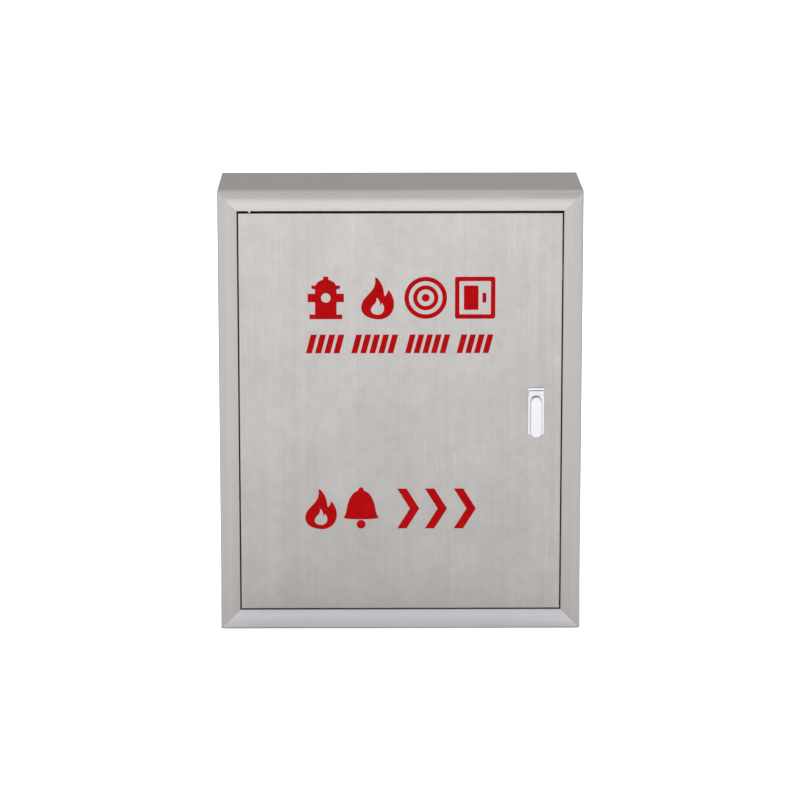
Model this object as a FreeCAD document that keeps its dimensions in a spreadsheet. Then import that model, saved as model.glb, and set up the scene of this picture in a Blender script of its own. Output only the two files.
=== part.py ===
import FreeCAD, Part
import math
import os
import Sketcher

# Standpipe cabinet: a stainless wall cabinet, 800 high, 650 wide and 240 deep,
# with a landing valve and a hose reel behind one pivot-hung door.
# Millimetres. +X right, -Y front, +Z up. The origin is the centre of the base.

DOC = FreeCAD.newDocument("standpipe_cabinet")
SHEET = DOC.addObject("Spreadsheet::Sheet", "Sizes")
NODES = []
VECTOR = FreeCAD.Vector
AXIS_X = VECTOR(1, 0, 0)
AXIS_Y = VECTOR(0, 1, 0)
AXIS_Z = VECTOR(0, 0, 1)


class Size:
    """A length that keeps its number and the sheet expression behind it."""

    def __init__(self, value, text):
        self.value = value
        self.text = text

    def __add__(self, other):
        other = as_size(other)
        return Size(self.value + other.value, f"({self.text} + {other.text})")

    def __radd__(self, other):
        return as_size(other) + self

    def __sub__(self, other):
        other = as_size(other)
        return Size(self.value - other.value, f"({self.text} - {other.text})")

    def __rsub__(self, other):
        return as_size(other) - self

    def __mul__(self, other):
        other = as_size(other)
        return Size(self.value * other.value, f"({self.text} * {other.text})")

    def __rmul__(self, other):
        return as_size(other) * self

    def __truediv__(self, other):
        other = as_size(other)
        return Size(self.value / other.value, f"({self.text} / {other.text})")

    def __neg__(self):
        return Size(-self.value, f"(0 - {self.text})")


def as_size(item):
    """Any number as a Size."""
    if isinstance(item, Size):
        return item
    return Size(float(item), repr(round(float(item), 6)))


def root(item):
    """Square root of a Size."""
    return Size(math.sqrt(item.value), f"sqrt({item.text})")


def size(alias, value, note):
    """One driving dimension: a row of the sheet with its alias."""
    row = str(size.row)
    size.row += 1
    SHEET.set("A" + row, note)
    SHEET.set("B" + row, str(value))
    SHEET.setAlias("B" + row, alias)
    return Size(float(value), "Sizes." + alias)


size.row = 1


# ---------------------------------------------------------------- helpers

def bind(item, name, value):
    """Set a property to a Size through an expression."""
    item.setExpression(name, as_size(value).text)


def place(item, x=0, y=0, z=0, axis=AXIS_Z, angle=0):
    """Give an object its Placement, with the position bound to the sheet."""
    base = VECTOR(as_size(x).value, as_size(y).value, as_size(z).value)
    item.Placement = FreeCAD.Placement(base, FreeCAD.Rotation(axis, angle))
    bind(item, ".Placement.Base.x", x)
    bind(item, ".Placement.Base.y", y)
    bind(item, ".Placement.Base.z", z)
    return item


def node(item, label):
    """Name an object as a finished sub-part."""
    item.Label = label
    NODES.append(item)
    return item


def block(x0, x1, y0, y1, z0, z1):
    """A box between two opposite corners."""
    item = DOC.addObject("Part::Box", "Block")
    bind(item, "Length", as_size(x1) - x0)
    bind(item, "Width", as_size(y1) - y0)
    bind(item, "Height", as_size(z1) - z0)
    return place(item, x0, y0, z0)


def rod(direction, x, y, z, radius, length):
    """A cylinder from a start point along x, y or z."""
    item = DOC.addObject("Part::Cylinder", "Rod")
    bind(item, "Radius", radius)
    bind(item, "Height", length)
    if direction == "x":
        return place(item, x, y, z, AXIS_Y, 90)
    if direction == "y":
        return place(item, x, y, z, AXIS_X, -90)
    return place(item, x, y, z)


def prism(direction, x, y, z, across_flats, length, sides=6):
    """A regular bar, such as a hexagon, from a start point along x, y or z."""
    item = DOC.addObject("Part::Prism", "Prism")
    item.Polygon = sides
    bind(item, "Circumradius", as_size(across_flats) / (2 * math.cos(math.pi / sides)))
    bind(item, "Height", length)
    if direction == "x":
        return place(item, x, y, z, AXIS_Y, 90)
    if direction == "y":
        return place(item, x, y, z, AXIS_X, -90)
    return place(item, x, y, z)


def fuse(*items):
    """Several shapes as one."""
    item = DOC.addObject("Part::MultiFuse", "Fused")
    item.Shapes = list(items)
    item.Refine = True
    return item


def cut(base, *tools):
    """A shape less the others."""
    item = DOC.addObject("Part::Cut", "Cut")
    item.Base = base
    item.Tool = tools[0] if len(tools) == 1 else fuse(*tools)
    item.Refine = True
    return item


def ring(direction, x, y, z, outer, inner, length):
    """A plain ring or tube from a start point."""
    outside = rod(direction, x, y, z, outer, length)
    if direction == "x":
        inside = rod(direction, x - 1, y, z, inner, as_size(length) + 2)
    elif direction == "y":
        inside = rod(direction, x, y - 1, z, inner, as_size(length) + 2)
    else:
        inside = rod(direction, x, y, z - 1, inner, as_size(length) + 2)
    return cut(outside, inside)


def rounded(base, radius, chosen):
    """Fillet the edges of a shape that the chosen test accepts."""
    DOC.recompute()
    item = DOC.addObject("Part::Fillet", "Rounded")
    item.Base = base
    numbers = []
    for number, edge in enumerate(base.Shape.Edges, start=1):
        if chosen(edge):
            numbers.append((number, radius, radius))
    item.Edges = numbers
    return item


def lengthwise(edge):
    """True for an edge that runs along y."""
    box = edge.BoundBox
    return box.YLength > 0.5 and box.XLength < 0.01 and box.ZLength < 0.01


def on_front(position):
    """A test for edges that lie in the plane y = position."""
    def test(edge):
        box = edge.BoundBox
        return abs(box.YMin - position) < 0.01 and abs(box.YMax - position) < 0.01
    return test


def new_body():
    """An empty PartDesign body and its origin planes by role."""
    body = DOC.addObject("PartDesign::Body", "Body")
    planes = {feature.Role: feature for feature in body.Origin.OriginFeatures}
    return body, planes


def pin_down(sketch, geometry, end, x, y):
    """Hold one sketch point at (x, y), bound to the sheet."""
    x = as_size(x)
    y = as_size(y)
    if abs(x.value) < 1e-9:
        sketch.addConstraint(Sketcher.Constraint("PointOnObject", geometry, end, -2))
    else:
        made = sketch.addConstraint(
            Sketcher.Constraint("DistanceX", -1, 1, geometry, end, x.value))
        sketch.setExpression(f"Constraints[{made}]", x.text)
    if abs(y.value) < 1e-9:
        sketch.addConstraint(Sketcher.Constraint("PointOnObject", geometry, end, -1))
    else:
        made = sketch.addConstraint(
            Sketcher.Constraint("DistanceY", -1, 1, geometry, end, y.value))
        sketch.setExpression(f"Constraints[{made}]", y.text)


def outline(sketch, steps):
    """
    Draw a closed outline. Each step is (x, y) for a straight side to that
    point, or (x, y, radius, turn) for an arc to it; turn is 1 for an arc that
    bulges to the right of its travel and -1 to the left.
    """
    count = len(steps)
    ends = []
    for number, step in enumerate(steps):
        before = steps[number - 1]
        start = VECTOR(as_size(before[0]).value, as_size(before[1]).value, 0)
        finish = VECTOR(as_size(step[0]).value, as_size(step[1]).value, 0)
        if len(step) == 2:
            made = sketch.addGeometry(Part.LineSegment(start, finish))
            ends.append((made, 1, 2))
            continue
        radius = as_size(step[2]).value
        half = (finish - start).Length / 2
        rise = radius - math.sqrt(max(radius * radius - half * half, 0))
        along = (finish - start).normalize()
        side = VECTOR(along.y, -along.x, 0) * step[3]
        middle = (start + finish) * 0.5 + side * rise
        made = sketch.addGeometry(Part.Arc(start, middle, finish))
        if (sketch.getPoint(made, 1) - start).Length < 1e-4:
            ends.append((made, 1, 2))
        else:
            ends.append((made, 2, 1))
        bound = sketch.addConstraint(Sketcher.Constraint("Radius", made, radius))
        sketch.setExpression(f"Constraints[{bound}]", as_size(step[2]).text)
    for number, step in enumerate(steps):
        made, _, finish_end = ends[number]
        after, start_end, _ = ends[(number + 1) % count]
        sketch.addConstraint(
            Sketcher.Constraint("Coincident", made, finish_end, after, start_end))
        pin_down(sketch, made, finish_end, step[0], step[1])


def circle(sketch, x, y, radius):
    """Draw a circle bound to the sheet."""
    centre = VECTOR(as_size(x).value, as_size(y).value, 0)
    shape = Part.Circle(centre, AXIS_Z, as_size(radius).value)
    made = sketch.addGeometry(shape)
    bound = sketch.addConstraint(
        Sketcher.Constraint("Radius", made, as_size(radius).value))
    sketch.setExpression(f"Constraints[{bound}]", as_size(radius).text)
    pin_down(sketch, made, 3, x, y)


def sketch_on(body, plane):
    """A sketch on one of the body's origin planes."""
    sketch = body.newObject("Sketcher::SketchObject", "Sketch")
    sketch.AttachmentSupport = [(plane, "")]
    sketch.MapMode = "FlatFace"
    return sketch


def pad(body, sketch, length, symmetric=False):
    """Pad a sketch."""
    item = body.newObject("PartDesign::Pad", "Pad")
    item.Profile = sketch
    item.SideType = "Symmetric" if symmetric else "One side"
    bind(item, "Length", length)
    return item


def pocket(body, sketch, length):
    """Pocket a sketch both ways from its plane."""
    item = body.newObject("PartDesign::Pocket", "Pocket")
    item.Profile = sketch
    item.SideType = "Symmetric"
    bind(item, "Length", length)
    return item


def plate(steps, thickness, holes=()):
    """An upright plate in x and z with round holes; it is padded towards -y."""
    body, planes = new_body()
    sketch = sketch_on(body, planes["XZ_Plane"])
    outline(sketch, steps)
    for x, z, radius in holes:
        circle(sketch, x, z, radius)
    pad(body, sketch, thickness)
    return body


def bar(steps, length):
    """A bar of constant section, drawn in x and y, padded up z."""
    body, planes = new_body()
    sketch = sketch_on(body, planes["XY_Plane"])
    outline(sketch, steps)
    pad(body, sketch, length)
    return body


def turned(steps):
    """A solid of revolution about z from a profile of (radius, height)."""
    body, planes = new_body()
    sketch = sketch_on(body, planes["XZ_Plane"])
    outline(sketch, steps)
    item = body.newObject("PartDesign::Revolution", "Revolution")
    item.Profile = sketch
    item.ReferenceAxis = (sketch, ["V_Axis"])
    item.Angle = 360
    return body


def rectangle(x0, z0, x1, z1):
    """The steps of a rectangle."""
    return [(x0, z0), (x1, z0), (x1, z1), (x0, z1)]


def obround(x, z_low, z_high, radius):
    """The steps of an upright slot shape between two arc centres."""
    return [
        (x + radius, z_high),
        (x - radius, z_high, as_size(radius) * 1.00001, 1),
        (x - radius, z_low),
        (x + radius, z_low, as_size(radius) * 1.00001, 1),
    ]


# ---------------------------------------------------------------- the sizes

width = size("cabinet_width", 650, "overall width")
height = size("cabinet_height", 800, "overall height")
depth = size("cabinet_depth", 240, "depth from frame plane to wall")
sheet = size("sheet_metal", 1.2, "thickness of the stainless sheet")
border = size("frame_border", 35, "width of the frame seen from the front")
crown = size("frame_crown", 2, "how far the frame swells forward")
crown_radius = size("crown_radius", 54, "radius of the swell")
outer_bend = size("outer_bend", 4, "outside bend of the frame")
inner_bend = size("inner_bend", 1.5, "bend at the door opening")
rim = size("frame_return", 25, "depth of the frame along the walls")
jamb = size("frame_jamb", 21.2, "depth of the jamb with its lip")
lip = size("frame_lip", 21, "width of the lip behind the frame")
flange = size("wall_flange", 15, "flange of a wall round the back")
side_gap = size("side_gap", 2, "gap at each side of the door")
head_gap = size("head_gap", 3.6, "gap above the door")
foot_gap = size("foot_gap", 2.2, "gap below the door")
door_face = size("door_face", 1, "door face behind the frame plane")
door_deep = size("door_depth", 20, "thickness of the door pan")
door_edge = size("door_edge", 1, "rounding of the door's front edges")
door_lip = size("door_lip", 12, "lip round the back of the door")
pivot_inset = size("pivot_inset", 20, "pivot axis from the door edge")
pivot_deep = size("pivot_deep", 8, "pivot axis behind the frame plane")
pin_radius = size("pin_radius", 2.5, "radius of a pivot pin")
running = size("running_gap", 0.05, "radial play of a running fit")
lock_x = size("lock_across", 243.2, "lock centre from the middle")
lock_z = size("lock_height", 365.2, "lock spindle above the base")
plate_wide = size("lock_plate_width", 29, "width of the lock plate")
plate_top = size("lock_plate_top", 445.2, "top of the lock plate")
plate_foot = size("lock_plate_foot", 359.7, "foot of the lock plate")
plate_thick = size("lock_plate_thickness", 2.5, "thickness of the lock plate")
grip_radius = size("grip_radius", 10, "end radius of the lock handle")
grip_reach = size("grip_reach", 55, "handle centre to centre")
grip_thick = size("grip_thickness", 7.8, "thickness of the lock handle")
cam_reach = size("cam_reach", 49, "cam arc centre from the spindle")
fix_wide = size("fixing_width", 500, "wall fixings across")
fix_high = size("fixing_height", 600, "wall fixings up")
fix_radius = size("fixing_radius", 5, "radius of a wall fixing hole")
valve_x = size("valve_across", 150, "landing valve from the middle")
valve_foot = size("valve_foot", 62, "landing valve inlet above the base")
thread_radius = size("inlet_radius", 36, "radius of the inlet thread")
wheel_radius = size("handwheel_radius", 60, "radius of the handwheel")
reel_x = size("reel_across", -40, "reel centre from the middle")
reel_z = size("reel_height", 545, "reel centre above the base")
reel_radius = size("reel_radius", 186, "radius of a reel disc to its curl")
drum_radius = size("drum_radius", 55, "radius of the reel drum")
axle_radius = size("axle_radius", 12, "radius of the reel axle")
pipe_x = size("pipe_across", 262, "feed pipe from the middle")
pipe_deep = size("pipe_deep", 208, "feed pipe behind the frame plane")
pipe_radius = size("pipe_radius", 13.5, "outside radius of the feed pipe")
pipe_wall = size("pipe_wall", 2.5, "wall of the feed pipe")
DOC.recompute()

front = depth * -0.5
back = depth * 0.5
half_wide = width / 2
open_x = half_wide - border
open_low = border
open_high = height - border
door_x = open_x - side_gap
door_low = open_low + foot_gap
door_high = open_high - head_gap
door_front = front + door_face
door_back = door_front + door_deep
pivot_x = pivot_inset - door_x
pivot_y = front + pivot_deep
plate_front = door_front - plate_thick
button_low = plate_top - 14.4
button_high = plate_top - 4.4


def deep(distance):
    """The y of a point that lies a distance behind the frame plane."""
    return front + distance


# ---------------------------------------------------------------- the frame

def frame_profile():
    """Section of a frame member: y back from the frame plane, z down and in."""
    middle = border / 2 + (outer_bend - inner_bend) / 2
    centre = crown_radius - crown
    steps = []

    def tangent(bend, foot, radius, sign):
        """Centre of a bend and its touching point on the swell."""
        reach = crown_radius - bend
        rise = root(reach * reach - foot * foot)
        scale = radius / reach
        return centre - rise * scale, middle + sign * foot * scale

    outer_foot = middle - outer_bend
    inner_foot = border - inner_bend - middle
    outer_rise = centre - root(
        (crown_radius - outer_bend) * (crown_radius - outer_bend)
        - outer_foot * outer_foot)
    inner_rise = centre - root(
        (crown_radius - inner_bend) * (crown_radius - inner_bend)
        - inner_foot * inner_foot)
    thin = crown_radius - sheet
    outer_out = tangent(outer_bend, outer_foot, crown_radius, -1)
    outer_in = tangent(outer_bend, outer_foot, thin, -1)
    inner_out = tangent(inner_bend, inner_foot, crown_radius, 1)
    inner_in = tangent(inner_bend, inner_foot, thin, 1)
    steps.append((rim, as_size(0)))
    steps.append((outer_rise, as_size(0)))
    steps.append((outer_out[0], -outer_out[1], outer_bend, 1))
    steps.append((inner_out[0], -inner_out[1], crown_radius, 1))
    steps.append((inner_rise, -border, inner_bend, 1))
    steps.append((jamb, -border))
    steps.append((jamb, lip - border))
    steps.append((jamb - sheet, lip - border))
    steps.append((jamb - sheet, sheet - border))
    steps.append((inner_rise, sheet - border))
    steps.append((inner_in[0], -inner_in[1], inner_bend - sheet, -1))
    steps.append((outer_in[0], -outer_in[1], thin, -1))
    steps.append((outer_rise, -sheet, outer_bend - sheet, -1))
    steps.append((rim, -sheet))
    return steps


def wall_profile():
    """Section of a wall: a web and a flange turned in at the back."""
    bend = as_size(2)
    return [
        (rim, as_size(0)),
        (rim, -sheet),
        (depth - bend, -sheet),
        (depth - sheet, -bend, bend - sheet, -1),
        (depth - sheet, -flange),
        (depth, -flange),
        (depth, -bend),
        (depth - bend, as_size(0), bend, 1),
    ]


def mitred(profile, length, holes=(), rings=()):
    """
    A member of one section along x, mitred at 45 degrees at both ends.
    Its outer face is z = 0 and its inside is below that. Holes go right
    through the web; rings are half-depth grooves round a knock-out.
    """
    body, planes = new_body()
    sketch = sketch_on(body, planes["YZ_Plane"])
    outline(sketch, profile)
    pad(body, sketch, length, symmetric=True)
    reach = border + 20
    for side in (1, -1):
        end = length * (side / 2)
        triangle = [
            (end + side * 5, as_size(5)),
            (end + side * 5, -reach),
            (end - side * reach, -reach),
        ]
        sketch = sketch_on(body, planes["XZ_Plane"])
        outline(sketch, triangle)
        pocket(body, sketch, depth * 4)
    if holes:
        sketch = sketch_on(body, planes["XY_Plane"])
        for x, y, radius in holes:
            circle(sketch, x, y, radius)
        pocket(body, sketch, as_size(20))
    if rings:
        sketch = sketch_on(body, planes["XY_Plane"])
        for x, y, radius in rings:
            circle(sketch, x, y, radius)
            circle(sketch, x, y, radius - 1.5)
        pocket(body, sketch, as_size(1))
    return body


def stand(body, side):
    """Place a mitred member on one side of the cabinet."""
    if side == "top":
        return place(body, 0, front, height)
    if side == "bottom":
        return place(body, 0, front, 0, AXIS_Y, 180)
    if side == "left":
        return place(body, -half_wide, front, height / 2, AXIS_Y, -90)
    return place(body, half_wide, front, height / 2, AXIS_Y, 90)


pin_hole_high = rod("z", pivot_x, pivot_y, open_high - 3, pin_radius, 10)
pin_hole_low = rod("z", pivot_x, pivot_y, open_low - 7, pin_radius, 10)
top_frame = stand(mitred(frame_profile(), width), "top")
node(cut(top_frame, pin_hole_high), "frame_top")
bottom_frame = stand(mitred(frame_profile(), width), "bottom")
node(cut(bottom_frame, pin_hole_low), "frame_bottom")
node(stand(mitred(frame_profile(), height), "left"), "frame_left")
node(stand(mitred(frame_profile(), height), "right"), "frame_right")

# ---------------------------------------------------------------- the walls

riser_hole = as_size(46)
feed_hole = as_size(18)
low_holes = [
    (-valve_x, depth / 2, riser_hole),
    (-pipe_x, pipe_deep, feed_hole),
]
knock_outs = [(as_size(-250), depth / 2, as_size(42))]
node(stand(mitred(wall_profile(), width), "top"), "top_panel")
node(stand(mitred(wall_profile(), width, low_holes), "bottom"), "bottom_panel")
node(stand(mitred(wall_profile(), height, rings=knock_outs), "left"), "left_panel")
node(stand(mitred(wall_profile(), height, rings=[(250, depth / 2, 42)]), "right"),
     "right_panel")

back_margin = sheet + 1
fixings = []
for side in (-0.5, 0.5):
    for level in (-0.5, 0.5):
        fixings.append((fix_wide * side, height / 2 + fix_high * level, fix_radius))
back_sheet = plate(
    rectangle(back_margin - half_wide, back_margin,
              half_wide - back_margin, height - back_margin),
    sheet, fixings)
node(place(back_sheet, 0, back - sheet), "back_panel")

# ---------------------------------------------------------------- the door

skin = block(-door_x, door_x, door_front, door_back, door_low, door_high)
skin = rounded(skin, door_edge.value, on_front(door_front.value))
hollow = block(sheet - door_x, door_x - sheet,
               door_front + sheet, door_back - sheet,
               door_low + sheet, door_high - sheet)
mouth = block(door_lip - door_x, door_x - door_lip,
              door_back - sheet - 1, door_back + 1,
              door_low + door_lip, door_high - door_lip)
pin_way = rod("z", pivot_x, pivot_y, door_low - 5, 5, door_high - door_low + 10)
spindle_way = rod("y", lock_x, door_front - 1, lock_z, 5.8, 5)
button_way = block(lock_x - 9, lock_x + 9, door_front - 1, door_front + 3,
                   button_low - 0.3, button_high + 0.3)
node(cut(skin, hollow, mouth, pin_way, spindle_way, button_way), "door_skin")


def hat_channel(x):
    """A hat-section stiffener up the back of the door skin."""
    near = door_front + sheet
    far = near + 16
    left = x - 25
    right = x + 25
    steps = [
        (left - 12, near),
        (left + 1, near),
        (left + 7, far - 1),
        (right - 7, far - 1),
        (right - 1, near),
        (right + 12, near),
        (right + 12, near + 1),
        (right - 0.3, near + 1),
        (right - 6.3, far),
        (left + 6.3, far),
        (left + 0.3, near + 1),
        (left - 12, near + 1),
    ]
    body = bar(steps, door_high - door_low - 40)
    return place(body, 0, 0, door_low + 20)


node(fuse(hat_channel(as_size(-130)), hat_channel(as_size(130))), "door_stiffeners")

bush_radius = as_size(4.5)
block_high = as_size(24)
blocks = []
bushes = []
pins = []
for upper in (True, False):
    if upper:
        low = door_high - sheet - block_high
        pin_foot = open_high - 21
        head_foot = open_high + sheet
    else:
        low = door_low + sheet
        pin_foot = open_low - 6
        head_foot = open_low - sheet - 4
    solid = block(pivot_x - 16, pivot_x + 16,
                  door_front + sheet, door_back - sheet, low, low + block_high)
    bore = rod("z", pivot_x, pivot_y, low - 1, bush_radius, block_high + 2)
    blocks.append(cut(solid, bore))
    bush = rod("z", pivot_x, pivot_y, low, bush_radius, block_high)
    bush_bore = rod("z", pivot_x, pivot_y, low - 1, pin_radius + running, block_high + 2)
    bushes.append(cut(bush, bush_bore))
    shank = rod("z", pivot_x, pivot_y, pin_foot, pin_radius, 27)
    head = rod("z", pivot_x, pivot_y, head_foot, pin_radius + 2.5, 4)
    pins.append(fuse(shank, head))
node(fuse(*blocks), "hinge_blocks")
node(fuse(*bushes), "hinge_bushes")
node(fuse(*pins), "pivot_pins")

stops = []
buffers = []
for level in (150, 650):
    seat = block(open_x + 3, open_x + 19, deep(jamb), deep(jamb) + 2,
                 level - 15, level + 15)
    arm = block(open_x - 23, open_x + 7, deep(jamb) + 2, deep(jamb) + 4,
                level - 15, level + 15)
    stops.append(fuse(seat, arm))
    buffers.append(rod("y", open_x - 11, door_back + 0.3, level, 7,
                       deep(jamb) + 2 - door_back - 0.3))
node(fuse(*stops), "door_stops")
node(fuse(*buffers), "stop_buffers")

# ---------------------------------------------------------------- the lock

face_plate = block(lock_x - plate_wide / 2, lock_x + plate_wide / 2,
                   plate_front, door_front, plate_foot, plate_top)
face_plate = rounded(face_plate, 1.2, lengthwise)
face_plate = rounded(face_plate, 0.6, on_front(plate_front.value))
arch_outer = plate(obround(lock_x, lock_z, lock_z + grip_reach, grip_radius + 1.9), 0.8)
place(arch_outer, 0, plate_front + 0.7)
arch_inner = plate(obround(lock_x, lock_z, lock_z + grip_reach, grip_radius + 0.9), 3)
place(arch_inner, 0, plate_front + 2)
button_slot = block(lock_x - 13.5, lock_x + 13.5, plate_front - 1, door_front + 1,
                    button_low, button_high)
spindle_slot = rod("y", lock_x, plate_front - 1, lock_z, 5 + running, 6)
node(cut(face_plate, cut(arch_outer, arch_inner), button_slot, spindle_slot),
     "lock_plate")

case = block(lock_x - 12.5, lock_x + 12.5, door_front + sheet, door_front + 13,
             lock_z - 13, button_high + 1.8)
case = rounded(case, 3, lengthwise)
barrel = rod("y", lock_x, door_front + 13, lock_z, 7.5, 6)
case_bore = rod("y", lock_x, door_front, lock_z, 5 + running, 25)
case_bay = block(lock_x - 8.7, lock_x + 8.7, door_front, door_front + 11,
                 button_low, button_high)
node(cut(fuse(case, barrel), case_bore, case_bay), "lock_housing")
nut = prism("y", lock_x, door_front + 13, lock_z, 22, 5)
node(cut(nut, rod("y", lock_x, door_front + 12, lock_z, 7.5, 8)), "lock_nut")

button_front = plate_front - 3
button = block(lock_x - 13.2, lock_x + 13.2, button_front, door_front - 2.6,
               button_low + 0.3, button_high - 0.3)
button = rounded(button, 0.8, on_front(button_front.value))
button_stem = block(lock_x - 8.4, lock_x + 8.4, door_front - 3.5, door_front + 5,
                    button_low + 0.3, button_high - 0.3)
arch_way = rod("y", lock_x, button_front - 1, lock_z + grip_reach, grip_radius + 1.9, 15)
ribs = []
for number in range(4):
    level = button_low + 3 + number * 1.8
    ribs.append(block(lock_x - 9, lock_x + 9, button_front - 1, button_front + 0.5,
                      level - 0.4, level + 0.4))
node(cut(fuse(button, button_stem), arch_way, *ribs), "lock_button")
spring_z = (button_low + button_high) / 2
spring_tube = rod("y", lock_x, door_front + 5, spring_z, 4.5, 3.3)
node(cut(spring_tube, rod("y", lock_x, door_front + 4, spring_z, 3.6, 6)),
     "button_spring")

cam_front = door_back + 1.5
cam_thick = as_size(4.5)
hinge_z = lock_z - 6
hinge_y = plate_front - 2.7
handle_pin_radius = as_size(1.25)
lift = math.radians(30)
heel_clear = as_size(2.2)
shaft = rod("y", lock_x, plate_front, lock_z, 5, cam_front - plate_front)
square_end = block(lock_x - 3.5, lock_x + 3.5, cam_front - 1, cam_front + cam_thick,
                   lock_z - 3.5, lock_z + 3.5)
tongue = block(lock_x - 4, lock_x + 4, plate_front - 5, plate_front - 0.4,
               hinge_z, lock_z + 6)
neck = rod("y", lock_x, plate_front - 1, lock_z, 3.9, 2)
tongue_end = rod("x", lock_x - 4, hinge_y, hinge_z, 2.3, 8)
pin_bore = rod("x", lock_x - 6, hinge_y, hinge_z, handle_pin_radius + running, 12)
node(cut(fuse(shaft, square_end, tongue, neck, tongue_end), pin_bore), "lock_spindle")

grip_back = plate_front - 0.3
grip = plate(obround(lock_x, lock_z, lock_z + grip_reach, grip_radius), grip_thick)
place(grip, 0, grip_back)
grip = rounded(grip, 1.6, on_front((grip_back - grip_thick).value))
recess = block(lock_x - 4.3, lock_x + 4.3, plate_front - 6, plate_front + 1,
               lock_z - 9.2, lock_z + 8.5)
handle_bore = rod("x", lock_x - 12, hinge_y, hinge_z, handle_pin_radius, 24)
# The heel is bevelled, so that it clears the plate when the handle is lifted.
heel = block(lock_x - 12, lock_x + 12, 0, 6, 0, 12)
heel_foot = as_size(8)
heel_lean = heel_foot * math.tan(lift) - heel_clear / math.cos(lift)
place(heel, lock_x - 12, hinge_y - heel_lean, hinge_z - heel_foot,
      AXIS_X, -math.degrees(lift))
node(cut(grip, recess, handle_bore, heel), "lock_handle")
node(rod("x", lock_x - 7.6, hinge_y, hinge_z, handle_pin_radius, 15.2), "handle_pin")

cam = plate(obround(lock_x, lock_z - cam_reach, lock_z, 9), cam_thick)
place(cam, 0, cam_front + cam_thick)
cam_hole = block(lock_x - 3.5, lock_x + 3.5, cam_front - 1, cam_front + cam_thick + 1,
                 lock_z - 3.5, lock_z + 3.5)
node(cut(cam, cam_hole), "lock_cam")
screw_head = prism("y", lock_x, cam_front + cam_thick, lock_z, 10, 3.5)
node(screw_head, "cam_screw")

# ---------------------------------------------------------------- valve

valve_y = as_size(0)


def on_valve(body):
    """Place a turned part on the valve's upright axis."""
    return place(body, valve_x, valve_y, valve_foot)


branch_z = valve_foot + 91
branch_reach = as_size(62)
body_outside = on_valve(turned([
    (0, 0), (46, 0), (46, 26), (41, 32), (43, 46), (51, 62), (54, 90),
    (50, 116), (44, 129), (50, 132), (50, 142), (0, 142),
]))
branch = rod("y", valve_x, valve_y - branch_reach, branch_z, 39, branch_reach - 8)
branch_rim = rod("y", valve_x, valve_y - branch_reach, branch_z, 43, 10)
body_inside = on_valve(turned([
    (0, -1), (thread_radius, -1), (thread_radius, 26), (30, 32), (30, 54),
    (33, 54), (33, 58), (44, 64), (47, 90), (43, 116), (36, 127),
    (36, 143), (0, 143),
]))
branch_way = rod("y", valve_x, valve_y - branch_reach - 1, branch_z, 32,
                 branch_reach + 6)
node(cut(fuse(body_outside, branch, branch_rim), body_inside, branch_way),
     "valve_body")
node(on_valve(turned([(27, 54), (33, 54), (33, 58), (27, 58)])), "seat_ring")
node(on_valve(turned([
    (8 + running, 136), (36, 136), (36, 142), (50, 142), (50, 150), (36, 150),
    (30, 154), (22, 166), (20, 188), (8 + running, 188),
])), "valve_bonnet")
gland = prism("z", valve_x, valve_y, valve_foot + 188, 36, 16)
node(cut(gland, rod("z", valve_x, valve_y, valve_foot + 180, 8 + running, 40)),
     "gland_nut")
bolts = []
for number in range(6):
    angle = math.radians(60 * number + 30)
    bolt_x = valve_x + 43 * math.cos(angle)
    bolt_y = valve_y + 43 * math.sin(angle)
    bolts.append(prism("z", bolt_x, bolt_y, valve_foot + 150, 9, 5))
node(fuse(*bolts), "bonnet_bolts")

node(on_valve(turned([(0, 60), (32, 60), (34, 63), (34, 70), (14, 74), (14, 84),
                      (0, 84)])), "valve_disc")
node(on_valve(turned([(0, 58.2), (31, 58.2), (31, 60), (0, 60)])), "disc_washer")
node(on_valve(turned([(0, 84), (8, 84), (8, 250), (5, 250), (5, 271),
                      (0, 271)])), "valve_stem")


def handwheel():
    """A five-spoke wheel with a rounded rim."""
    level = valve_foot + 256
    hub = rod("z", valve_x, valve_y, level - 6, 13, 18)
    hoop = DOC.addObject("Part::Torus", "Hoop")
    bind(hoop, "Radius1", wheel_radius - 6)
    bind(hoop, "Radius2", 6)
    place(hoop, valve_x, valve_y, level + 4)
    spokes = []
    for number in range(5):
        spoke = rod("x", valve_x, valve_y, level + 3, 4.2, wheel_radius - 7)
        turn = FreeCAD.Rotation(AXIS_Z, 72 * number)
        tilt = FreeCAD.Rotation(AXIS_Y, 90)
        spoke.Placement = FreeCAD.Placement(spoke.Placement.Base, turn * tilt)
        spokes.append(spoke)
    bore = rod("z", valve_x, valve_y, level - 20, 5, 60)
    seat = rod("z", valve_x, valve_y, level - 20, 8, 14)
    return cut(fuse(hub, hoop, *spokes), bore, seat)


node(handwheel(), "handwheel")
wheel_nut = prism("z", valve_x, valve_y, valve_foot + 268, 17, 6)
node(cut(wheel_nut, rod("z", valve_x, valve_y, valve_foot + 260, 5, 20)),
     "handwheel_nut")

coupling_y = valve_y - branch_reach


def facing_front(body, y, z):
    """Place a turned part with its axis along -y, starting at y."""
    return place(body, valve_x, y, z, AXIS_X, 90)


coupling = facing_front(turned([
    (33, 0), (43, 0), (43, 9), (38, 12), (38, 17), (49, 19), (49, 34),
    (46, 36), (37, 36), (37, 30), (33, 30),
]), coupling_y, branch_z)
notches = []
for number in range(4):
    angle = math.radians(90 * number + 45)
    notch = rod("y", valve_x + 49 * math.cos(angle), coupling_y - 40,
                branch_z + 49 * math.sin(angle), 5, 22)
    notches.append(notch)
node(cut(coupling, *notches), "outlet_coupling")
node(facing_front(turned([(33, 30), (37, 30), (37, 34), (33, 34)]),
                  coupling_y, branch_z), "outlet_gasket")

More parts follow.
